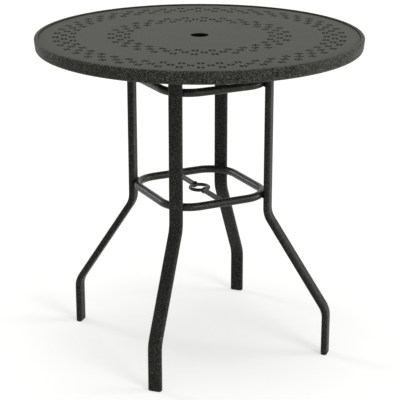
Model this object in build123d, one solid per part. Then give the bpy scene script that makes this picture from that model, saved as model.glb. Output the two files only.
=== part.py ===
from build123d import *
import math
import os

# A round bar-height patio table: a punched sheet top in a rolled rim, carried by two rails on four
# bent legs, which two rounded-square rings tie together. The lower ring holds the umbrella ring.
# Millimetres, +Z up, the floor at Z = 0 and the table's axis on Z. The front is -Y.

# Overall
HEIGHT = 1016.0
TOP_DIAMETER = 1016.0

# Rolled rim
RIM_DEPTH = 40.0
RIM_TAPER = 4.0
RIM_WALL = 1.6
RIM_LAND = 13.0
RIM_LIP_RADIUS = 2.4
RIM_TOP_RADIUS = 5.0
RIM_FOOT_RADIUS = 9.5
RIM_LEDGE = 14.0
RIM_FLANGE = 21.5

# Punched sheet
SHEET_DROP = 4.0
SHEET_THICKNESS = 1.6
SHEET_CLEARANCE = 0.4
UMBRELLA_HOLE = 54.0
HOLE_FLANGE_DEPTH = 10.0

# Punched pattern: two bands of staggered rows
OPENING_SIDE = 14.0
BAND_ROWS = 3
ROW_STEP = 25.0
COLUMN_STEP = 56.3
OUTER_BAND_INSET = 78.5
BAND_SPACING = 167.5
OUTER_BAND_TURN = 1.29
INNER_BAND_TURN = 8.72

# Support rails
RAIL_WIDTH = 46.0
RAIL_DEPTH = 18.0
RAIL_WALL = 1.6
RAIL_CORNER = 3.5
RAIL_END_CLEARANCE = 0.5

# Legs
LEG_WIDTH = 43.0
LEG_DEPTH = 20.5
LEG_CORNER = 8.5
LEG_WALL = 1.6
LEG_TOP_RADIUS = 226.5
LEG_FOOT_RADIUS = 425.5
LEG_UPPER_BEND = 454.0
LEG_LOWER_BEND = 149.0
LEG_BEND_RADIUS = 75.0
LEG_ANGLES = {"right_rear": 45, "left_rear": 135, "left_front": 225, "right_front": 315}

# Leg plates and their bolts
PLATE_WIDTH = 46.0
PLATE_THICKNESS = 4.0
PLATE_MARGIN = 14.0
PLATE_CORNER = 6.0
BOLT_INSET = 38.0
BOLT_DIAMETER = 8.0
BOLT_CLEARANCE = 1.0
HEX_WIDTH = 13.0
BOLT_HEAD = 5.5
BOLT_END = 2.0
NUT_HEIGHT = 6.5
NUT_CLEARANCE = 0.4

# Glides
GLIDE_HEIGHT = 8.0
GLIDE_CHAMFER = 2.5
GLIDE_STUB = 22.0
GLIDE_CLEARANCE = 0.3

# Tie rings and the umbrella ring
RING_TUBE = 25.4
RING_CORNER = 90.0
UPPER_RING_DROP = 138.0
LOWER_RING_HEIGHT = 518.0
WELD_GAP = 0.3
BAR_DIAMETER = 17.0
UMBRELLA_RING_DIAMETER = 70.0
UMBRELLA_RING_BORE = 48.0
UMBRELLA_RING_HEIGHT = 11.0
UMBRELLA_RING_CHAMFER = 3.0

# Places that follow from the sizes above
RIM_RADIUS = TOP_DIAMETER / 2
LIP_RADIUS = RIM_RADIUS - RIM_LAND
LEDGE_RADIUS = LIP_RADIUS - RIM_LEDGE
OUTER_BAND_RADIUS = LIP_RADIUS - OUTER_BAND_INSET
INNER_BAND_RADIUS = OUTER_BAND_RADIUS - BAND_SPACING
SHEET_TOP = HEIGHT - SHEET_DROP
SHEET_BOTTOM = SHEET_TOP - SHEET_THICKNESS
RAIL_BOTTOM = SHEET_BOTTOM - RAIL_DEPTH
LEG_TOP = RAIL_BOTTOM - PLATE_THICKNESS
LEG_OFFSET = LEG_TOP_RADIUS / math.sqrt(2)
BOLT_OFFSET = LEG_OFFSET - BOLT_INSET
UPPER_RING_HEIGHT = HEIGHT - UPPER_RING_DROP
RING_REACH = LEG_TOP_RADIUS - LEG_DEPTH / 2 - WELD_GAP - RING_TUBE / 2
RING_HALF = (RING_REACH - RING_CORNER) / math.sqrt(2) + RING_CORNER


def rim():
    """A band rolled from one strip: ledge, lip, flat land, leaning apron and a return flange."""
    foot = HEIGHT - RIM_DEPTH
    flange_radius = RIM_RADIUS - RIM_FLANGE
    lean = RIM_TAPER / RIM_DEPTH
    slant = math.sqrt(1 + lean**2)
    outer_radius = RIM_RADIUS + RIM_TOP_RADIUS * (lean + slant - 1)
    inner_radius = outer_radius - RIM_WALL * slant
    lip = (LIP_RADIUS, HEIGHT)
    top = (outer_radius, HEIGHT)
    bottom = (outer_radius - RIM_TAPER, foot)
    inner_bottom = (inner_radius - lean * (RIM_DEPTH - RIM_WALL), foot + RIM_WALL)
    inner_top = (inner_radius - lean * RIM_WALL, HEIGHT - RIM_WALL)
    inner_lip = (LIP_RADIUS + RIM_WALL, HEIGHT - RIM_WALL)
    strip = Polyline(
        (LEDGE_RADIUS, SHEET_BOTTOM),
        (LIP_RADIUS, SHEET_BOTTOM),
        lip,
        top,
        bottom,
        (flange_radius, foot),
        (flange_radius, foot + RIM_WALL),
        inner_bottom,
        inner_top,
        inner_lip,
        (LIP_RADIUS + RIM_WALL, SHEET_BOTTOM - RIM_WALL),
        (LEDGE_RADIUS, SHEET_BOTTOM - RIM_WALL),
        close=True,
    )
    bends = [
        (lip, RIM_LIP_RADIUS),
        (inner_lip, RIM_LIP_RADIUS - RIM_WALL),
        (top, RIM_TOP_RADIUS),
        (inner_top, RIM_TOP_RADIUS - RIM_WALL),
        (bottom, RIM_FOOT_RADIUS),
        (inner_bottom, RIM_FOOT_RADIUS - RIM_WALL),
    ]
    section = make_face(strip)
    for corner, radius in bends:
        section = fillet(section.vertices().sort_by_distance(corner)[0], radius)
    return revolve(Plane.XZ * section, Axis.Z)


def band_openings(radius, turn):
    """One band of square openings: each row is half a step round from the row beside it."""
    repeats = round(math.tau * radius / COLUMN_STEP)
    step = 360 / repeats
    openings = []
    for row in range(BAND_ROWS):
        row_radius = radius + (row - (BAND_ROWS - 1) / 2) * ROW_STEP
        row_turn = turn + step / 2 * (row % 2)
        places = PolarLocations(row_radius, repeats, start_angle=row_turn)
        openings += places * Rectangle(OPENING_SIDE, OPENING_SIDE)
    return openings


def top_sheet():
    """The flat punched sheet, with a turned-down flange round the umbrella hole."""
    blank = Circle(LIP_RADIUS - SHEET_CLEARANCE) - Circle(UMBRELLA_HOLE / 2)
    punched = blank - (
        band_openings(OUTER_BAND_RADIUS, OUTER_BAND_TURN)
        + band_openings(INNER_BAND_RADIUS, INNER_BAND_TURN)
    )
    collar = Circle(UMBRELLA_HOLE / 2 + SHEET_THICKNESS) - Circle(UMBRELLA_HOLE / 2)
    sheet = Pos(0, 0, SHEET_BOTTOM) * extrude(punched, SHEET_THICKNESS)
    flange = Pos(0, 0, SHEET_BOTTOM) * extrude(collar, -HOLE_FLANGE_DEPTH)
    return sheet + flange


def support_rail(side):
    """A formed channel, open against the sheet, with a bolt hole beside each leg."""
    centre = side * LEG_OFFSET
    far_edge = LEG_OFFSET + RAIL_WIDTH / 2
    half_length = math.sqrt((LEDGE_RADIUS - RAIL_END_CLEARANCE) ** 2 - far_edge**2)
    outside = Rectangle(RAIL_WIDTH, RAIL_DEPTH, align=(Align.CENTER, Align.MIN))
    inside_width = RAIL_WIDTH - 2 * RAIL_WALL
    inside = Rectangle(inside_width, RAIL_DEPTH, align=(Align.CENTER, Align.MIN))
    outside = fillet(outside.vertices().group_by(Axis.Y)[0], RAIL_CORNER)
    inside = fillet(inside.vertices().group_by(Axis.Y)[0], RAIL_CORNER - RAIL_WALL)
    section = outside - Pos(0, RAIL_WALL) * inside
    rail = extrude(Plane.YZ * section, half_length, both=True)
    hole = Cylinder((BOLT_DIAMETER + BOLT_CLEARANCE) / 2, RAIL_DEPTH)
    rail -= [Pos(x, 0, 0) * hole for x in (-BOLT_OFFSET, BOLT_OFFSET)]
    return Pos(0, centre, RAIL_BOTTOM) * rail


def leg(angle):
    """A rounded flat tube with two bends, splayed outward between them."""
    route = FilletPolyline(
        (LEG_FOOT_RADIUS, 0, GLIDE_HEIGHT),
        (LEG_FOOT_RADIUS, 0, LEG_LOWER_BEND),
        (LEG_TOP_RADIUS, 0, LEG_UPPER_BEND),
        (LEG_TOP_RADIUS, 0, LEG_TOP),
        radius=LEG_BEND_RADIUS,
    )
    foot = Plane((LEG_FOOT_RADIUS, 0, GLIDE_HEIGHT))
    outside = foot * RectangleRounded(LEG_DEPTH, LEG_WIDTH, LEG_CORNER)
    inside = foot * leg_bore(0)
    return Rot(0, 0, angle) * (sweep(outside, route) - sweep(inside, route))


def leg_bore(clearance):
    """The tube's inside section, less a clearance all round."""
    inset = 2 * (LEG_WALL + clearance)
    return RectangleRounded(LEG_DEPTH - inset, LEG_WIDTH - inset, LEG_CORNER - inset / 2)


def glide(angle):
    """A moulded foot with a stub that fills the leg's open end."""
    foot = extrude(RectangleRounded(LEG_DEPTH, LEG_WIDTH, LEG_CORNER), GLIDE_HEIGHT)
    foot = chamfer(foot.faces().sort_by(Axis.Z)[0].edges(), GLIDE_CHAMFER)
    stub = Pos(0, 0, GLIDE_HEIGHT) * extrude(leg_bore(GLIDE_CLEARANCE), GLIDE_STUB)
    return Rot(0, 0, angle) * Pos(LEG_FOOT_RADIUS, 0, 0) * (foot + stub)


def leg_plate(angle):
    """The plate on a leg's top, which reaches inward under the rail to its bolt."""
    side_x = math.copysign(1, math.cos(math.radians(angle)))
    side_y = math.copysign(1, math.sin(math.radians(angle)))
    length = BOLT_INSET + PLATE_MARGIN + PLATE_WIDTH / 2
    middle = side_x * (LEG_OFFSET + PLATE_WIDTH / 2 - length / 2)
    blank = Pos(middle, 0) * RectangleRounded(length, PLATE_WIDTH, PLATE_CORNER)
    hole = Pos(side_x * BOLT_OFFSET, 0) * Circle((BOLT_DIAMETER + BOLT_CLEARANCE) / 2)
    return Pos(0, side_y * LEG_OFFSET, LEG_TOP) * extrude(blank - hole, PLATE_THICKNESS)


def bolt():
    """A hex-headed bolt, its head's bearing face at Z = 0."""
    length = PLATE_THICKNESS + RAIL_WALL + NUT_HEIGHT + BOLT_END
    head = extrude(RegularPolygon(HEX_WIDTH / 2, 6, major_radius=False), -BOLT_HEAD)
    return head + extrude(Circle(BOLT_DIAMETER / 2), length)


def weld_nut():
    """A hex nut, its seat on the rail at Z = 0."""
    bore = Circle((BOLT_DIAMETER + NUT_CLEARANCE) / 2)
    return extrude(RegularPolygon(HEX_WIDTH / 2, 6, major_radius=False) - bore, NUT_HEIGHT)


def at_bolts(shape, height):
    """A copy of a fastener at each leg's bolt, as one group of separate solids."""
    corners = [(x, y) for y in (-LEG_OFFSET, LEG_OFFSET) for x in (-BOLT_OFFSET, BOLT_OFFSET)]
    return Compound(children=[Pos(x, y, height) * shape for x, y in corners])


def tie_ring(height):
    """A round tube bent to a rounded square, whose corners meet the legs' inner faces."""
    square = RectangleRounded(2 * RING_HALF, 2 * RING_HALF, RING_CORNER)
    start = Plane((RING_HALF, 0, 0), z_dir=(0, 1, 0))
    return Pos(0, 0, height) * sweep(start * Circle(RING_TUBE / 2), square.wire())


def umbrella_bar(side):
    """Half of the crossbar, coped to the lower ring and to the umbrella ring."""
    rod = Pos(0, RING_HALF / 2, 0) * Rot(90, 0, 0) * Cylinder(BAR_DIAMETER / 2, RING_HALF)
    tube = Rot(0, 90, 0) * Cylinder(RING_TUBE / 2 + WELD_GAP, 2 * BAR_DIAMETER)
    hub = Cylinder(UMBRELLA_RING_DIAMETER / 2 + WELD_GAP, 2 * BAR_DIAMETER)
    rod -= [Pos(0, RING_HALF, 0) * tube, hub]
    return Pos(0, 0, LOWER_RING_HEIGHT) * Rot(0, 0, 90 - 90 * side) * rod


def umbrella_ring():
    """A short ring with bevelled edges that steadies the umbrella pole."""
    wall = (UMBRELLA_RING_DIAMETER - UMBRELLA_RING_BORE) / 2
    middle = (UMBRELLA_RING_DIAMETER + UMBRELLA_RING_BORE) / 4
    blank = Rectangle(wall, UMBRELLA_RING_HEIGHT)
    section = Pos(middle, LOWER_RING_HEIGHT) * chamfer(blank.vertices(), UMBRELLA_RING_CHAMFER)
    return revolve(Plane.XZ * section, Axis.Z)


def build():
    """Every node of the table by name."""
    nodes = {
        "rim": rim(),
        "top_sheet": top_sheet(),
        "support_rail_front": support_rail(-1),
        "support_rail_rear": support_rail(1),
        "upper_ring": tie_ring(UPPER_RING_HEIGHT),
        "lower_ring": tie_ring(LOWER_RING_HEIGHT),
        "umbrella_bar_front": umbrella_bar(-1),
        "umbrella_bar_rear": umbrella_bar(1),
        "umbrella_ring": umbrella_ring(),
        "plate_bolts": at_bolts(bolt(), LEG_TOP),
        "rail_nuts": at_bolts(weld_nut(), RAIL_BOTTOM + RAIL_WALL),
    }
    for name, angle in LEG_ANGLES.items():
        nodes[f"leg_{name}"] = leg(angle)
        nodes[f"glide_{name}"] = glide(angle)
        nodes[f"leg_plate_{name}"] = leg_plate(angle)
    return nodes


os.makedirs("parts", exist_ok=True)
for node_name, solid in build().items():
    export_step(solid, f"parts/{node_name}.step")
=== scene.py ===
import math

import bmesh
import bpy
import numpy as np
from mathutils import Matrix, Vector


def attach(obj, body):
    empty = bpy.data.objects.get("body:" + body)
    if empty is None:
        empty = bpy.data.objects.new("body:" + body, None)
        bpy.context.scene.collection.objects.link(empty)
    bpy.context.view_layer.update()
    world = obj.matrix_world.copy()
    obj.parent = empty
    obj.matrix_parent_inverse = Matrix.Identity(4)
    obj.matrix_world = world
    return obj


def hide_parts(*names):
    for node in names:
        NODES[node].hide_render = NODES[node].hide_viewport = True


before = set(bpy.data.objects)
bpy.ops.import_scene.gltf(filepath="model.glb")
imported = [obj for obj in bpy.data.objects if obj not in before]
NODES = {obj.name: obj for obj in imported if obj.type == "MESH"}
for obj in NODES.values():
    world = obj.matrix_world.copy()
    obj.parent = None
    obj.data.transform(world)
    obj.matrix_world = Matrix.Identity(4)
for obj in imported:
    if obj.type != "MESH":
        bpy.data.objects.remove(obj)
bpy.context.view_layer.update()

# Sizes in metres, as in the part's source
SHEET_TOP = 1.012
SHEET_BOTTOM = 1.0104
SHEET_RADIUS = 0.4946
SHEET_EDGE = 0.0005
RIM_LIP_RADIUS = 0.495
RIM_LIP_BEND = 0.0024
UMBRELLA_HOLE_RADIUS = 0.027
HOLE_FLANGE_DEPTH = 0.010
HOLE_BEND_RADIUS = 0.0016
HUB_RINGS = (0.12, 0.045)

# Punched pattern: a group of two by two square holes in every other half-step cell
HOLE_SIDE = 0.0075
HOLE_PITCH_AROUND = 0.0122
HOLE_PITCH_OUT = 0.0112
HOLE_ROLL = 0.0007
HOLE_DRAW = 0.0012
ROW_STEP = 0.025
BAND_ROWS = 3
OUTER_BAND = {"radius": 0.4165, "repeats": 46, "turn": math.radians(1.29)}
INNER_BAND = {"radius": 0.249, "repeats": 28, "turn": math.radians(8.72)}

# Legs, rings and crossbar
LEG_ANGLES = np.radians([45.0, 135.0, 225.0, 315.0])
LEG_TOP_RADIUS = 0.2265
LEG_TOP = 0.9884
LEG_WIDTH = 0.043
LEG_DEPTH = 0.0205
LEG_CORNER = 0.0085
RING_TUBE_RADIUS = 0.0127
RING_CORNER = 0.090
RING_GAP = 0.0003
LOWER_RING_HEIGHT = 0.518
UPPER_RING_HEIGHT = 0.878
BAR_RADIUS = 0.0085
COLLAR_RADIUS = 0.035
COLLAR_BORE_RADIUS = 0.024
COLLAR_STEPS = 120
COLLAR_SECTION_STEPS = 24

# Weld beads
RING_BEAD_RADIUS = 0.0031
RING_BEAD_HALF = 0.0118
RING_BEAD_RISE = 0.0093
RING_BEAD_INSET = 0.0022
BAR_BEAD_RADIUS = 0.0019
BAR_BEAD_STAND_OFF = 0.0006
PLATE_BEAD_RADIUS = 0.0022
PLATE_BEAD_DROP = 0.0004
BEAD_RIPPLE = 0.07
BEAD_RIPPLE_LENGTH = 0.0021
BEAD_SIDES = 12
BEAD_SHARP = 60.0
RING_BEAD_STEPS = 61
BAR_BEAD_STEPS = 96
PLATE_BEAD_STEPS = 120

# Points nearer than this are one point, and heights nearer than this are one height
MERGE_DISTANCE = 1e-6
SAME_PLACE = 1e-5

# Powder coat: depth of its relief, range of grain that goes from dark to light, share of plain
# cells and the reach of a speck in its cell, and the painted shade in the holes and on the lip
COAT_RELIEF_DEPTH = 0.0006
GRAIN_RANGE = (0.42, 0.62)
FINE_GRAIN_RATIO = 2.7
FINE_GRAIN_SHARE = 0.4
CLOUD_SCALE = 14.0
CLOUD_REACH = 0.12
PLAIN_CELL_SHARE = 0.8
SPECK_REACH = (0.34, 0.16)
SPECK_RISE = 0.35
COAT_DARK = (0.004, 0.0044, 0.0034)
# Painted shade: the colour put in the holes of the top
PAINTED_RECESS_SHADE_COLOUR = (0.0015, 0.0015, 0.0014, 1)
# Painted shade on the rim's lip: its colour, and how far it is mixed in
PAINTED_LIP_SHADE_COLOUR = (0.003, 0.003, 0.0028, 1)
LIP_SHADE = 0.7

# Camera of the photograph
CAMERA_PLACE = (-1.8637, -3.7203, 1.8762)
CAMERA_TILT = math.radians(90 - 18.612)
CAMERA_TURN = math.radians(-26.633)
CAMERA_LENS = 123.13
SENSOR_WIDTH = 36.0
CAMERA_REACH = 100.0

# Studio light: each lamp's strength, spread in degrees and the way its light travels
ROOM_LIGHT = 0.08
FLOOR_GLOW = 0.545
FLOOR_REACH = 20.0
FLOOR_COLOUR = (0.97, 0.97, 0.96, 1)
STUDIO_WHITE = (1.0, 1.0, 0.985, 1)
LAMPS = {
    "overhead": (0.74, 46.0, (0.0, 0.0, -1.0)),
    "right_key": (0.9, 28.0, (-0.861, 0.439, -0.259)),
    "front_light": (1.0, 24.0, (-0.200, 0.920, -0.338)),
    "left_back_light": (0.5, 18.0, (0.484, -0.805, -0.342)),
}


class Surface:
    """Points and faces gathered patch by patch, then made into one closed mesh."""

    def __init__(self):
        self.points = []
        self.faces = []
        self.count = 0

    def add_points(self, points):
        """Puts in an array of points and gives their numbers in the same layout."""
        points = np.asarray(points, float)
        numbers = self.count + np.arange(points[..., 0].size).reshape(points.shape[:-1])
        self.points.append(points.reshape(-1, 3))
        self.count += numbers.size
        return numbers

    def add_faces(self, *corners):
        """Puts in faces whose corners are arrays of point numbers, in order round each face."""
        self.faces.append(np.stack(np.broadcast_arrays(*corners), -1).reshape(-1, len(corners)))

    def add_grid(self, numbers, wrap_first=False, wrap_second=False):
        """Quads between neighbours of a grid, facing along its first times its second direction."""
        after_first = np.roll(numbers, -1, 0)
        after_second = np.roll(numbers, -1, 1)
        after_both = np.roll(after_first, -1, 1)
        quads = np.stack([numbers, after_first, after_both, after_second], -1)
        quads = quads if wrap_first else quads[:-1]
        quads = quads if wrap_second else quads[:, :-1]
        self.faces.append(quads.reshape(-1, 4))

    def make(self, name, material, sharp=30.0):
        """The piece itself: doubles merged, smooth but for edges sharper than an angle."""
        mesh = bpy.data.meshes.new(name)
        faces = [face for block in self.faces for face in block.tolist()]
        mesh.from_pydata(np.concatenate(self.points).tolist(), [], faces)
        work = bmesh.new()
        work.from_mesh(mesh)
        bmesh.ops.remove_doubles(work, verts=work.verts, dist=MERGE_DISTANCE)
        work.to_mesh(mesh)
        work.free()
        mesh.polygons.foreach_set("use_smooth", np.ones(len(mesh.polygons), dtype=bool))
        mesh.set_sharp_from_angle(angle=math.radians(sharp))
        mesh.materials.append(material)
        piece = bpy.data.objects.new(name, mesh)
        bpy.context.scene.collection.objects.link(piece)
        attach(piece, "root")
        return piece


def on_height(flat, height):
    """Plan points lifted to one height."""
    return np.concatenate([flat, np.full(flat.shape[:-1] + (1,), height)], -1)


def spun(profile, angles):
    """Profile points (radius, height) turned to each angle about the Z axis."""
    profile = np.asarray(profile, float)
    radius = profile[:, :1]
    height = np.broadcast_to(profile[:, 1:], (len(profile), len(angles)))
    return np.stack([radius * np.cos(angles), radius * np.sin(angles), height], -1)


def quarter(centre, radius, start, turn=90.0, steps=6):
    """Points (radius, height) on an arc about a centre, between two angles in degrees."""
    angle = np.radians(np.linspace(start, start + turn, steps + 1))
    return np.stack([centre[0] + radius * np.cos(angle), centre[1] + radius * np.sin(angle)], -1)


def band_angles(band):
    """The angles of a band's edge points: five to a half-step cell."""
    cells = 2 * band["repeats"]
    step = math.tau / cells
    return band["turn"] - step / 2 + step / 5 * np.arange(5 * cells)


def cell_points(band, lines_around, lines_out):
    """Six by six points of every cell: edges on the polar cell, the rest on square lines.

    A cell's own directions are round and out at its middle. Its edge points divide the polar
    cell evenly, and its inner points are the cell's middle plus a line's offset each way.
    """
    cells = 2 * band["repeats"]
    step = math.tau / cells
    even = np.linspace(-0.5, 0.5, 6)
    row, column = np.meshgrid(np.arange(BAND_ROWS), np.arange(cells), indexing="ij")
    middle_angle = band["turn"] + column * step
    middle_radius = band["radius"] + (row - (BAND_ROWS - 1) / 2) * ROW_STEP
    angle = middle_angle[..., None, None] + step * even[:, None]
    radius = middle_radius[..., None, None] + ROW_STEP * even[None, :]
    points = np.stack([radius * np.cos(angle), radius * np.sin(angle)], -1)
    out = np.stack([np.cos(middle_angle), np.sin(middle_angle)], -1)
    around = np.stack([-np.sin(middle_angle), np.cos(middle_angle)], -1)
    middle = middle_radius[..., None] * out
    square = (
        middle[:, :, None, None]
        + lines_around[:, None, None] * around[:, :, None, None]
        + lines_out[None, :, None] * out[:, :, None, None]
    )
    punched = (row + column) % 2 == 0
    points[:, :, 1:5, 1:5] = np.where(
        punched[..., None, None, None], square, points[:, :, 1:5, 1:5]
    )
    return points, punched


def punch_band(sheet, band):
    """One band of the sheet: both faces of every cell, and the walls of its holes.

    A hole's edge rolls over as a quarter round between the top and the wall. The punch drew the
    wall down into a short lip, and the underside falls to that lip from the roll's line.
    """
    centre_side = np.array([-1, -1, 1, 1]) / 2
    wall_side = np.array([-1, 1, -1, 1])

    def hole_lines(wider):
        wall = (HOLE_SIDE / 2 + wider) * wall_side
        return HOLE_PITCH_AROUND * centre_side + wall, HOLE_PITCH_OUT * centre_side + wall

    flat_top, punched = cell_points(band, *hole_lines(HOLE_ROLL))
    flat_roll, _ = cell_points(band, *hole_lines(HOLE_ROLL * (1 - math.sin(math.pi / 4))))
    flat_wall, _ = cell_points(band, *hole_lines(0.0))
    roll_height = SHEET_TOP - HOLE_ROLL * (1 - math.cos(math.pi / 4))
    top = sheet.add_points(on_height(flat_top, SHEET_TOP))
    rolled = sheet.add_points(on_height(flat_roll[punched], roll_height))
    wall = sheet.add_points(on_height(flat_wall[punched], SHEET_TOP - HOLE_ROLL))
    lip = sheet.add_points(on_height(flat_wall[punched], SHEET_BOTTOM - HOLE_DRAW))
    bottom = sheet.add_points(on_height(flat_top, SHEET_BOTTOM))
    solid = np.ones((5, 5), bool)
    solid[1::2, 1::2] = False
    kept = solid | ~punched[..., None, None]

    def corners(numbers):
        first = numbers[:, :, :-1, :-1][kept]
        out = numbers[:, :, :-1, 1:][kept]
        both = numbers[:, :, 1:, 1:][kept]
        around = numbers[:, :, 1:, :-1][kept]
        return first, out, both, around

    sheet.add_faces(*corners(top))
    sheet.add_faces(*corners(bottom)[::-1])
    loop_round = np.array([0, 0, 1, 1])
    loop_out = np.array([0, 1, 1, 0])
    hole_round, hole_out = np.meshgrid([1, 3], [1, 3], indexing="ij")
    index_round = hole_round.reshape(-1, 1) + loop_round
    index_out = hole_out.reshape(-1, 1) + loop_out
    rims = [
        top[punched][:, index_round, index_out],
        rolled[:, index_round, index_out],
        wall[:, index_round, index_out],
        lip[:, index_round, index_out],
        bottom[punched][:, index_round, index_out],
    ]
    for upper, lower in zip(rims, rims[1:]):
        sheet.add_faces(upper, np.roll(upper, -1, -1), np.roll(lower, -1, -1), lower)


def between_bands(sheet, inner_radius, inner_angles, outer_radius, outer_angles):
    """The plain ring between two bands whose edges have different counts of points.

    Both edges' points are met in order of angle, and each one reached closes a triangle with
    the last point of the other edge.
    """
    shift = np.argmin((outer_angles - inner_angles[0]) % math.tau)
    outer_angles = np.roll(outer_angles, -shift)
    outer_turn = (outer_angles - inner_angles[0]) % math.tau
    inner_turn = inner_angles - inner_angles[0]
    inner_next = np.append(inner_turn[1:], math.tau)
    outer_next = np.append(outer_turn[1:], math.tau + outer_turn[0])
    inner_number = np.arange(len(inner_turn))
    outer_number = np.arange(len(outer_turn))
    outer_met = np.searchsorted(outer_next, inner_next, side="left")
    inner_met = np.searchsorted(inner_next, outer_next, side="right")
    for height, upward in ((SHEET_TOP, True), (SHEET_BOTTOM, False)):
        inner = sheet.add_points(spun([[inner_radius, height]], inner_angles)[0])
        outer = sheet.add_points(spun([[outer_radius, height]], outer_angles)[0])
        inner_side = [
            inner[inner_number],
            outer[outer_met % len(outer)],
            inner[(inner_number + 1) % len(inner)],
        ]
        outer_side = [
            inner[inner_met % len(inner)],
            outer[outer_number],
            outer[(outer_number + 1) % len(outer)],
        ]
        order = 1 if upward else -1
        sheet.add_faces(*inner_side[::order])
        sheet.add_faces(*outer_side[::order])


def mark_recess(mesh):
    """Marks the walls of every hole with one, and the sheet's two faces with nought, for the
    painted shade in the holes.
    """
    places = np.empty(3 * len(mesh.vertices))
    mesh.vertices.foreach_get("co", places)
    height = places[2::3]
    off_underside = np.abs(height - SHEET_BOTTOM) > SAME_PLACE
    in_umbrella_hole = np.hypot(places[0::3], places[1::3]) < UMBRELLA_HOLE_RADIUS + SAME_PLACE
    sunk = (height < SHEET_TOP - SAME_PLACE) & (off_underside | in_umbrella_hole)
    recess = mesh.attributes.new("recess", "FLOAT", "POINT")
    recess.data.foreach_set("value", sunk.astype(np.float32))


def punched_top(material):
    """The sheet with every square hole: two punched bands, plain rings and the umbrella hole.

    The hub is a profile spun about Z: in along the top, round the hole's bend, down its flange
    and out along the underside. The edge ring is spun the same way.
    """
    sheet = Surface()
    half_band = BAND_ROWS / 2 * ROW_STEP
    for band in (INNER_BAND, OUTER_BAND):
        punch_band(sheet, band)
    inner_edge = INNER_BAND["radius"] - half_band
    outer_edge = OUTER_BAND["radius"] + half_band
    bend = (UMBRELLA_HOLE_RADIUS + HOLE_BEND_RADIUS, SHEET_TOP - HOLE_BEND_RADIUS)
    flange_radius = UMBRELLA_HOLE_RADIUS + SHEET_TOP - SHEET_BOTTOM
    flange_foot = SHEET_BOTTOM - HOLE_FLANGE_DEPTH
    hub = np.concatenate([
        [[radius, SHEET_TOP] for radius in (inner_edge, *HUB_RINGS)],
        quarter(bend, HOLE_BEND_RADIUS, 90),
        [[UMBRELLA_HOLE_RADIUS, flange_foot], [flange_radius, flange_foot]],
        [[radius, SHEET_BOTTOM] for radius in (flange_radius, *HUB_RINGS[::-1], inner_edge)],
    ])
    hub_points = sheet.add_points(spun(hub, band_angles(INNER_BAND)))
    sheet.add_grid(hub_points[::-1], wrap_second=True)
    between_bands(
        sheet,
        INNER_BAND["radius"] + half_band,
        band_angles(INNER_BAND),
        OUTER_BAND["radius"] - half_band,
        band_angles(OUTER_BAND),
    )
    edge_centre = (SHEET_RADIUS - SHEET_EDGE, SHEET_TOP - SHEET_EDGE)
    edge = np.concatenate([
        [[outer_edge, SHEET_TOP]],
        quarter(edge_centre, SHEET_EDGE, 90, -90, 3),
        [[SHEET_RADIUS, SHEET_BOTTOM], [outer_edge, SHEET_BOTTOM]],
    ])
    edge_points = sheet.add_points(spun(edge, band_angles(OUTER_BAND)))
    sheet.add_grid(edge_points, wrap_second=True)
    piece = sheet.make("punched_top", material)
    mark_recess(piece.data)
    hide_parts("top_sheet")


def umbrella_collar(material):
    """The umbrella ring: a round bar's section spun about Z."""
    bar = (COLLAR_RADIUS - COLLAR_BORE_RADIUS) / 2
    middle = (COLLAR_RADIUS + COLLAR_BORE_RADIUS) / 2
    section = quarter((middle, LOWER_RING_HEIGHT), bar, 0, 360, COLLAR_SECTION_STEPS)[:-1]
    collar = Surface()
    turn = np.linspace(0, math.tau, COLLAR_STEPS, endpoint=False)
    points = collar.add_points(spun(section, turn))
    collar.add_grid(points[::-1], wrap_first=True, wrap_second=True)
    piece = collar.make("umbrella_collar", material, sharp=50.0)
    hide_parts("umbrella_ring")


def beads(surface, path, across, upward, radius, closed):
    """Bead tubes carried along paths: a circle of changing radius in two cross directions.

    path, across and upward are arrays of (bead, step, xyz), and radius is (step) or (bead, step).
    """
    around = np.linspace(0, math.tau, BEAD_SIDES, endpoint=False)[:, None]
    radius = np.broadcast_to(radius, path.shape[:2])[..., None, None]
    points = path[:, :, None] + radius * (
        np.cos(around) * across[:, :, None] + np.sin(around) * upward[:, :, None]
    )
    for bead in surface.add_points(points):
        surface.add_grid(bead, wrap_first=closed, wrap_second=True)


def ripple(length):
    """The small waves that a weld freezes in, as a factor on the bead's radius."""
    return 1 + BEAD_RIPPLE * np.abs(np.sin(math.pi * length / BEAD_RIPPLE_LENGTH))


def ring_welds(material):
    """Beads above and below each place where a ring's corner touches a leg.

    A bead runs level along the leg's inner face; its radius falls to nothing at both ends as
    the root of one less the sixth power of the way along.
    """
    welds = Surface()
    along = np.linspace(-1, 1, RING_BEAD_STEPS)
    offset = RING_BEAD_HALF * along
    radius = RING_BEAD_RADIUS * np.sqrt(1 - along**6) * ripple(offset)
    leg_face = LEG_TOP_RADIUS - LEG_DEPTH / 2
    rise = RING_BEAD_RISE * np.array([-1, 1])
    heights = [LOWER_RING_HEIGHT, UPPER_RING_HEIGHT]
    angle, ring, side = np.meshgrid(LEG_ANGLES, heights, rise, indexing="ij")
    angle, height = angle.reshape(-1, 1), (ring + side).reshape(-1, 1)
    out = np.stack([np.cos(angle), np.sin(angle), 0 * angle], -1)
    level = np.stack([-np.sin(angle), np.cos(angle), 0 * angle], -1)
    up = np.broadcast_to([0.0, 0.0, 1.0], out.shape)
    lean = RING_CORNER - np.sqrt(RING_CORNER**2 - offset**2)
    reach = (leg_face - RING_BEAD_INSET - lean / 2)[None, :, None]
    path = reach * out + offset[None, :, None] * level + height[..., None] * up
    shape = path.shape
    beads(welds, path, np.broadcast_to(out, shape), np.broadcast_to(up, shape), radius, False)
    welds.make("ring_welds", material, sharp=BEAD_SHARP)


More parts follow.
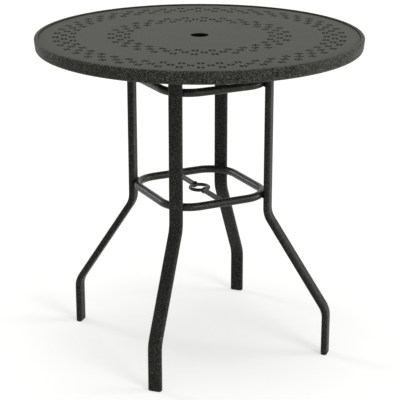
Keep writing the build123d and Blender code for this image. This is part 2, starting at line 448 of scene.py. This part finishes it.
def bar_welds(material):
    """Beads round the crossbar's ends: a circle laid on the ring's tube, and on the collar."""
    welds = Surface()
    turn = np.linspace(0, math.tau, BAR_BEAD_STEPS, endpoint=False)
    circle = BAR_RADIUS + BAR_BEAD_STAND_OFF
    sideways = circle * np.cos(turn)
    upright = circle * np.sin(turn)
    leg_reach = LEG_TOP_RADIUS - LEG_DEPTH / 2 - RING_GAP - RING_TUBE_RADIUS
    ring_half = (leg_reach - RING_CORNER) / math.sqrt(2) + RING_CORNER
    at_ring = ring_half - np.sqrt(RING_TUBE_RADIUS**2 - upright**2)
    at_collar = np.sqrt(COLLAR_RADIUS**2 - sideways**2)
    away = np.stack([at_ring, at_collar, -at_ring, -at_collar])
    level = np.broadcast_to(sideways, away.shape)
    height = np.broadcast_to(LOWER_RING_HEIGHT + upright, away.shape)
    path = np.stack([level, away, height], -1)
    out = np.stack([np.cos(turn), 0 * turn, np.sin(turn)], -1)
    along = np.array([0.0, 1.0, 0.0])
    radius = BAR_BEAD_RADIUS * ripple(circle * turn)
    shape = path.shape
    beads(welds, path, np.broadcast_to(along, shape), np.broadcast_to(out, shape), radius, True)
    welds.make("bar_welds", material, sharp=BEAD_SHARP)


def plate_welds(material):
    """Beads round each leg's top, under its plate.

    The leg's outline is a small rectangle's corner point carried out along a normal; both
    change in straight lines with the distance gone round.
    """
    welds = Surface()
    half_deep = LEG_DEPTH / 2 - LEG_CORNER
    half_wide = LEG_WIDTH / 2 - LEG_CORNER
    arc = LEG_CORNER * math.pi / 2
    half_round = [arc, 2 * half_deep, arc, 2 * half_wide]
    reached = np.cumsum([0, *half_round, *half_round])
    base_out = half_deep * np.array([1, 1, -1, -1, -1, -1, 1, 1, 1])
    base_side = half_wide * np.array([1, 1, 1, 1, -1, -1, -1, -1, 1])
    normal_turn = math.pi / 2 * np.array([0, 1, 1, 2, 2, 3, 3, 4, 4])
    gone = np.linspace(0, reached[-1], PLATE_BEAD_STEPS, endpoint=False)
    turn = np.interp(gone, reached, normal_turn)
    out = np.interp(gone, reached, base_out) + LEG_CORNER * np.cos(turn)
    side = np.interp(gone, reached, base_side) + LEG_CORNER * np.sin(turn)
    angle = LEG_ANGLES[:, None]
    reach = LEG_TOP_RADIUS + out
    path = np.stack([
        reach * np.cos(angle) - side * np.sin(angle),
        reach * np.sin(angle) + side * np.cos(angle),
        np.full((len(LEG_ANGLES), len(gone)), LEG_TOP - PLATE_BEAD_DROP),
    ], -1)
    normal = np.stack([np.cos(angle + turn), np.sin(angle + turn), 0 * (angle + turn)], -1)
    up = np.broadcast_to([0.0, 0.0, 1.0], path.shape)
    beads(welds, path, normal, up, PLATE_BEAD_RADIUS * ripple(gone), True)
    welds.make("plate_welds", material, sharp=BEAD_SHARP)


def node(tree, kind, values=None, **settings):
    """A shader node with its settings and the values of its open sockets."""
    made = tree.nodes.new(kind)
    for name, value in settings.items():
        setattr(made, name, value)
    for name, value in (values or {}).items():
        made.inputs[name].default_value = value
    return made


def new_group(name, inputs, outputs):
    """An empty shader node group with named sockets, its input and its output node."""
    tree = bpy.data.node_groups.new(name, "ShaderNodeTree")
    for label, kind, value in inputs:
        socket = tree.interface.new_socket(name=label, in_out="INPUT", socket_type=kind)
        socket.default_value = value
    for label, kind in outputs:
        tree.interface.new_socket(name=label, in_out="OUTPUT", socket_type=kind)
    return tree, tree.nodes.new("NodeGroupInput"), tree.nodes.new("NodeGroupOutput")


def coat_grain_group():
    """Textured powder coat: grains of two sizes, pale specks and soft clouds.

    Colour goes from Dark to Light with the grains, then to Speck in a few cells; roughness and
    height follow the same grains, so that the relief and the colour belong together.
    """
    tree, given, result = new_group(
        "coat_grain",
        [
            ("Dark", "NodeSocketColor", (0.02, 0.02, 0.019, 1)),
            ("Light", "NodeSocketColor", (0.06, 0.06, 0.056, 1)),
            ("Speck", "NodeSocketColor", (0.2, 0.2, 0.19, 1)),
            ("Grains per metre", "NodeSocketFloat", 300.0),
            ("Low roughness", "NodeSocketFloat", 0.42),
            ("High roughness", "NodeSocketFloat", 0.68),
        ],
        [
            ("Color", "NodeSocketColor"),
            ("Roughness", "NodeSocketFloat"),
            ("Height", "NodeSocketFloat"),
        ],
    )
    link = tree.links.new
    place = node(tree, "ShaderNodeTexCoord").outputs["Object"]
    grain = node(tree, "ShaderNodeTexNoise", {"Detail": 2.5, "Roughness": 0.55})
    link(place, grain.inputs["Vector"])
    link(given.outputs["Grains per metre"], grain.inputs["Scale"])
    finer = node(tree, "ShaderNodeMath", {1: FINE_GRAIN_RATIO}, operation="MULTIPLY")
    link(given.outputs["Grains per metre"], finer.inputs[0])
    fine = node(tree, "ShaderNodeTexNoise", {"Detail": 1.5, "Roughness": 0.5})
    link(place, fine.inputs["Vector"])
    link(finer.outputs[0], fine.inputs["Scale"])
    cloud = node(tree, "ShaderNodeTexNoise", {"Scale": CLOUD_SCALE, "Detail": 2.0})
    link(place, cloud.inputs["Vector"])
    both = node(tree, "ShaderNodeMix", {"Factor": FINE_GRAIN_SHARE}, data_type="FLOAT")
    link(grain.outputs["Fac"], both.inputs["A"])
    link(fine.outputs["Fac"], both.inputs["B"])
    tone = node(
        tree,
        "ShaderNodeMapRange",
        {"From Min": GRAIN_RANGE[0], "From Max": GRAIN_RANGE[1]},
        interpolation_type="SMOOTHSTEP",
    )
    link(both.outputs["Result"], tone.inputs["Value"])
    cloudy = node(tree, "ShaderNodeMapRange", {"To Min": -CLOUD_REACH, "To Max": CLOUD_REACH})
    link(cloud.outputs["Fac"], cloudy.inputs["Value"])
    mixed = node(tree, "ShaderNodeMath", operation="ADD", use_clamp=True)
    link(tone.outputs["Result"], mixed.inputs[0])
    link(cloudy.outputs["Result"], mixed.inputs[1])
    colour = node(tree, "ShaderNodeMix", data_type="RGBA")
    link(mixed.outputs[0], colour.inputs["Factor"])
    link(given.outputs["Dark"], colour.inputs[6])
    link(given.outputs["Light"], colour.inputs[7])
    speck = node(tree, "ShaderNodeTexVoronoi", feature="F1")
    link(place, speck.inputs["Vector"])
    link(given.outputs["Grains per metre"], speck.inputs["Scale"])
    near = node(
        tree,
        "ShaderNodeMapRange",
        {"From Min": SPECK_REACH[0], "From Max": SPECK_REACH[1]},
        interpolation_type="SMOOTHSTEP",
    )
    link(speck.outputs["Distance"], near.inputs["Value"])
    chosen = node(tree, "ShaderNodeSeparateColor")
    link(speck.outputs["Color"], chosen.inputs["Color"])
    few = node(tree, "ShaderNodeMath", {1: PLAIN_CELL_SHARE}, operation="GREATER_THAN")
    link(chosen.outputs["Red"], few.inputs[0])
    mask = node(tree, "ShaderNodeMath", operation="MULTIPLY")
    link(near.outputs["Result"], mask.inputs[0])
    link(few.outputs[0], mask.inputs[1])
    flecked = node(tree, "ShaderNodeMix", data_type="RGBA")
    link(mask.outputs[0], flecked.inputs["Factor"])
    link(colour.outputs[2], flecked.inputs[6])
    link(given.outputs["Speck"], flecked.inputs[7])
    link(flecked.outputs[2], result.inputs["Color"])
    rough = node(tree, "ShaderNodeMapRange")
    link(fine.outputs["Fac"], rough.inputs["Value"])
    link(given.outputs["Low roughness"], rough.inputs["To Min"])
    link(given.outputs["High roughness"], rough.inputs["To Max"])
    link(rough.outputs["Result"], result.inputs["Roughness"])
    raised = node(tree, "ShaderNodeMath", {1: SPECK_RISE}, operation="MULTIPLY_ADD")
    link(mask.outputs[0], raised.inputs[0])
    link(both.outputs["Result"], raised.inputs[2])
    link(raised.outputs[0], result.inputs["Height"])
    return tree


def material_base(name, relief, depth):
    """A material with its Principled shader and a Bump node, and the shader's sockets."""
    material = bpy.data.materials.new(name)
    material.use_nodes = True
    tree = material.node_tree
    shader = tree.nodes["Principled BSDF"]
    bump = node(tree, "ShaderNodeBump", {"Strength": relief, "Distance": depth})
    tree.links.new(bump.outputs["Normal"], shader.inputs["Normal"])
    return material, tree, shader, bump


def coat(name, group, dark, light, speck, grains, roughness, gloss, relief):
    """One copy of the powder coat, from the shared grain, with its grains to the metre; the copies'
    colours differ as painted light and shade.
    """
    material, tree, shader, bump = material_base(name, relief, COAT_RELIEF_DEPTH)
    grain = tree.nodes.new("ShaderNodeGroup")
    grain.node_tree = group
    for label, colour in (("Dark", dark), ("Light", light), ("Speck", speck)):
        grain.inputs[label].default_value = (*colour, 1)
    grain.inputs["Grains per metre"].default_value = grains
    grain.inputs["Low roughness"].default_value = roughness[0]
    grain.inputs["High roughness"].default_value = roughness[1]
    tree.links.new(grain.outputs["Color"], shader.inputs["Base Color"])
    tree.links.new(grain.outputs["Roughness"], shader.inputs["Roughness"])
    tree.links.new(grain.outputs["Height"], bump.inputs["Height"])
    shader.inputs["Specular IOR Level"].default_value = gloss
    return material


def shade_recess(material):
    """Painted shade, with full roughness, on the walls of the punched holes, from the sheet's
    recess mark.
    """
    tree = material.node_tree
    shader = tree.nodes["Principled BSDF"]
    grain = tree.nodes["Group"]
    recess = node(tree, "ShaderNodeAttribute", attribute_name="recess")
    shaded = node(tree, "ShaderNodeMix", {7: PAINTED_RECESS_SHADE_COLOUR}, data_type="RGBA")
    tree.links.new(recess.outputs["Fac"], shaded.inputs["Factor"])
    tree.links.new(grain.outputs["Color"], shaded.inputs[6])
    tree.links.new(shaded.outputs[2], shader.inputs["Base Color"])
    dull = node(tree, "ShaderNodeMix", {"B": 1.0}, data_type="FLOAT")
    tree.links.new(recess.outputs["Fac"], dull.inputs["Factor"])
    tree.links.new(grain.outputs["Roughness"], dull.inputs["A"])
    tree.links.new(dull.outputs["Result"], shader.inputs["Roughness"])


def shade_lip(material):
    """Painted shade on the rim's lip, inside a radius from the Z axis that ends in its bend."""
    tree = material.node_tree
    grain = tree.nodes["Group"]
    place = node(tree, "ShaderNodeTexCoord").outputs["Object"]
    level = node(tree, "ShaderNodeVectorMath", {1: (1.0, 1.0, 0.0)}, operation="MULTIPLY")
    tree.links.new(place, level.inputs[0])
    radius = node(tree, "ShaderNodeVectorMath", operation="LENGTH")
    tree.links.new(level.outputs["Vector"], radius.inputs[0])
    inside = node(
        tree,
        "ShaderNodeMapRange",
        {
            "From Min": RIM_LIP_RADIUS + RIM_LIP_BEND,
            "From Max": RIM_LIP_RADIUS + RIM_LIP_BEND / 3,
            "To Max": LIP_SHADE,
        },
    )
    tree.links.new(radius.outputs["Value"], inside.inputs["Value"])
    shaded = node(tree, "ShaderNodeMix", {7: PAINTED_LIP_SHADE_COLOUR}, data_type="RGBA")
    tree.links.new(inside.outputs["Result"], shaded.inputs["Factor"])
    tree.links.new(grain.outputs["Color"], shaded.inputs[6])
    tree.links.new(shaded.outputs[2], tree.nodes["Principled BSDF"].inputs["Base Color"])


def moulded_nylon():
    """The glides: matte black moulded plastic with a fine spark-eroded texture."""
    material, tree, shader, bump = material_base("moulded_nylon", 0.35, 0.0003)
    link = tree.links.new
    place = node(tree, "ShaderNodeTexCoord").outputs["Object"]
    pits = node(tree, "ShaderNodeTexNoise", {"Scale": 1400.0, "Detail": 2.0})
    link(place, pits.inputs["Vector"])
    scuffs = node(tree, "ShaderNodeTexNoise", {"Scale": 90.0, "Detail": 4.0, "Roughness": 0.6})
    link(place, scuffs.inputs["Vector"])
    tone = node(tree, "ShaderNodeValToRGB")
    tone.color_ramp.elements[0].position = 0.35
    tone.color_ramp.elements[0].color = (0.006, 0.006, 0.006, 1)
    tone.color_ramp.elements[1].position = 0.75
    tone.color_ramp.elements[1].color = (0.022, 0.022, 0.021, 1)
    link(scuffs.outputs["Fac"], tone.inputs["Fac"])
    link(tone.outputs["Color"], shader.inputs["Base Color"])
    rough = node(tree, "ShaderNodeMapRange", {"To Min": 0.5, "To Max": 0.75})
    link(pits.outputs["Fac"], rough.inputs["Value"])
    link(rough.outputs["Result"], shader.inputs["Roughness"])
    link(pits.outputs["Fac"], bump.inputs["Height"])
    shader.inputs["Specular IOR Level"].default_value = 0.3
    return material


def plated_zinc():
    """Bolts and nuts: pale plated steel with clouded patches and fine turning marks."""
    material, tree, shader, bump = material_base("plated_zinc", 0.15, 0.0002)
    link = tree.links.new
    place = node(tree, "ShaderNodeTexCoord").outputs["Object"]
    clouds = node(tree, "ShaderNodeTexNoise", {"Scale": 220.0, "Detail": 3.0})
    link(place, clouds.inputs["Vector"])
    marks = node(tree, "ShaderNodeTexNoise", {"Scale": 2200.0, "Detail": 1.0})
    link(place, marks.inputs["Vector"])
    tone = node(tree, "ShaderNodeValToRGB")
    tone.color_ramp.elements[0].position = 0.3
    tone.color_ramp.elements[0].color = (0.42, 0.43, 0.44, 1)
    tone.color_ramp.elements[1].position = 0.7
    tone.color_ramp.elements[1].color = (0.62, 0.62, 0.6, 1)
    link(clouds.outputs["Fac"], tone.inputs["Fac"])
    link(tone.outputs["Color"], shader.inputs["Base Color"])
    rough = node(tree, "ShaderNodeMapRange", {"To Min": 0.28, "To Max": 0.5})
    link(clouds.outputs["Fac"], rough.inputs["Value"])
    link(rough.outputs["Result"], shader.inputs["Roughness"])
    link(marks.outputs["Fac"], bump.inputs["Height"])
    shader.inputs["Metallic"].default_value = 1.0
    return material


def dress_nodes(finishes):
    """Gives each CAD node the finish of the first name part that it starts with."""
    for name, part in NODES.items():
        finish = next(made for start, made in finishes.items() if name.startswith(start))
        for place in part.material_slots:
            place.material = finish


def camera():
    """The camera at the photograph's place and angle."""
    data = bpy.data.cameras.new("photo_camera")
    data.sensor_width = SENSOR_WIDTH
    data.lens = CAMERA_LENS
    data.clip_end = CAMERA_REACH
    stand = bpy.data.objects.new("photo_camera", data)
    stand.matrix_world = (
        Matrix.Translation(CAMERA_PLACE)
        @ Matrix.Rotation(CAMERA_TURN, 4, "Z")
        @ Matrix.Rotation(CAMERA_TILT, 4, "X")
    )
    bpy.context.scene.collection.objects.link(stand)
    bpy.context.scene.camera = stand


def lamp(name, strength, spread, toward):
    """A soft distant lamp whose light travels in one direction, with its spread in degrees."""
    data = bpy.data.lights.new(name, "SUN")
    data.energy = strength
    data.angle = math.radians(spread)
    stand = bpy.data.objects.new(name, data)
    stand.rotation_euler = Vector(toward).to_track_quat("-Z", "Y").to_euler()
    bpy.context.scene.collection.objects.link(stand)


def seen_directly(tree):
    """One for rays from the camera, mirrors or through glass, and nought for the rest."""
    path = node(tree, "ShaderNodeLightPath")
    shiny = node(tree, "ShaderNodeMath", operation="MAXIMUM")
    tree.links.new(path.outputs["Is Glossy Ray"], shiny.inputs[0])
    tree.links.new(path.outputs["Is Transmission Ray"], shiny.inputs[1])
    either = node(tree, "ShaderNodeMath", operation="MAXIMUM")
    tree.links.new(path.outputs["Is Camera Ray"], either.inputs[0])
    tree.links.new(shiny.outputs[0], either.inputs[1])
    return either.outputs[0]


def studio():
    """A white room with a pale floor, a broad lamp above and three low lamps around."""
    world = bpy.data.worlds.new("studio")
    bpy.context.scene.world = world
    world.use_nodes = True
    room = world.node_tree
    background = room.nodes["Background"]
    background.inputs["Color"].default_value = STUDIO_WHITE
    level = node(room, "ShaderNodeMapRange", {"To Min": ROOM_LIGHT, "To Max": 1.0})
    room.links.new(seen_directly(room), level.inputs["Value"])
    room.links.new(level.outputs["Result"], background.inputs["Strength"])
    for name, settings in LAMPS.items():
        lamp(name, *settings)
    mesh = bpy.data.meshes.new("floor")
    corners = FLOOR_REACH * np.array([[-1, -1, 0], [1, -1, 0], [1, 1, 0], [-1, 1, 0]])
    mesh.from_pydata(corners.tolist(), [], [[0, 1, 2, 3]])
    floor = bpy.data.objects.new("floor", mesh)
    bpy.context.scene.collection.objects.link(floor)
    paper = bpy.data.materials.new("floor_paper")
    paper.use_nodes = True
    shader = paper.node_tree.nodes["Principled BSDF"]
    shader.inputs["Base Color"].default_value = FLOOR_COLOUR
    shader.inputs["Roughness"].default_value = 1.0
    shader.inputs["Specular IOR Level"].default_value = 0.0
    shader.inputs["Emission Color"].default_value = STUDIO_WHITE
    glow = node(paper.node_tree, "ShaderNodeMapRange", {"To Min": 0.0, "To Max": FLOOR_GLOW})
    paper.node_tree.links.new(seen_directly(paper.node_tree), glow.inputs["Value"])
    paper.node_tree.links.new(glow.outputs["Result"], shader.inputs["Emission Strength"])
    mesh.materials.append(paper)


bpy.context.scene.view_settings.view_transform = "Standard"
camera()
studio()

grain_group = coat_grain_group()
# One powder coat in four copies whose colours are set apart to paint light and shade: the top's
# copy is lightest for the light on the top, the rim's is lighter than the frame's, and the tubes'
# is darkest for the shade under the top
top_coat_painted_light_and_shade = coat(
    "top_coat_painted_light_and_shade",
    grain_group,
    dark=(0.083, 0.086, 0.074),
    light=(0.145, 0.150, 0.131),
    speck=(0.24, 0.245, 0.219),
    grains=330.0,
    roughness=(0.50, 0.70),
    gloss=0.08,
    relief=0.5,
)
# Painted shade in the holes of the top
shade_recess(top_coat_painted_light_and_shade)
rim_coat = coat(
    "rim_coat",
    grain_group,
    dark=COAT_DARK,
    light=(0.110, 0.116, 0.095),
    speck=(0.32, 0.33, 0.29),
    grains=240.0,
    roughness=(0.38, 0.62),
    gloss=0.10,
    relief=0.9,
)
# Painted shade on the rim's lip
shade_lip(rim_coat)
frame_coat = coat(
    "frame_coat",
    grain_group,
    dark=COAT_DARK,
    light=(0.060, 0.064, 0.052),
    speck=(0.22, 0.23, 0.19),
    grains=270.0,
    roughness=(0.34, 0.58),
    gloss=0.11,
    relief=0.8,
)
# The tubes' copy of the powder coat is darker than the frame's: painted shade on the rings,
# umbrella parts and their welds
tube_coat_painted_shade = coat(
    "tube_coat_painted_shade",
    grain_group,
    dark=COAT_DARK,
    light=(0.028, 0.030, 0.024),
    speck=(0.22, 0.23, 0.20),
    grains=270.0,
    roughness=(0.22, 0.38),
    gloss=0.28,
    relief=0.8,
)
nylon = moulded_nylon()
zinc = plated_zinc()
dress_nodes({
    "rim": rim_coat,
    "top_sheet": top_coat_painted_light_and_shade,
    "glide": nylon,
    "plate_bolts": zinc,
    "rail_nuts": zinc,
    "upper_ring": tube_coat_painted_shade,
    "lower_ring": tube_coat_painted_shade,
    "umbrella": tube_coat_painted_shade,
    "": frame_coat,
})

punched_top(top_coat_painted_light_and_shade)
umbrella_collar(tube_coat_painted_shade)
ring_welds(tube_coat_painted_shade)
bar_welds(tube_coat_painted_shade)
plate_welds(frame_coat)
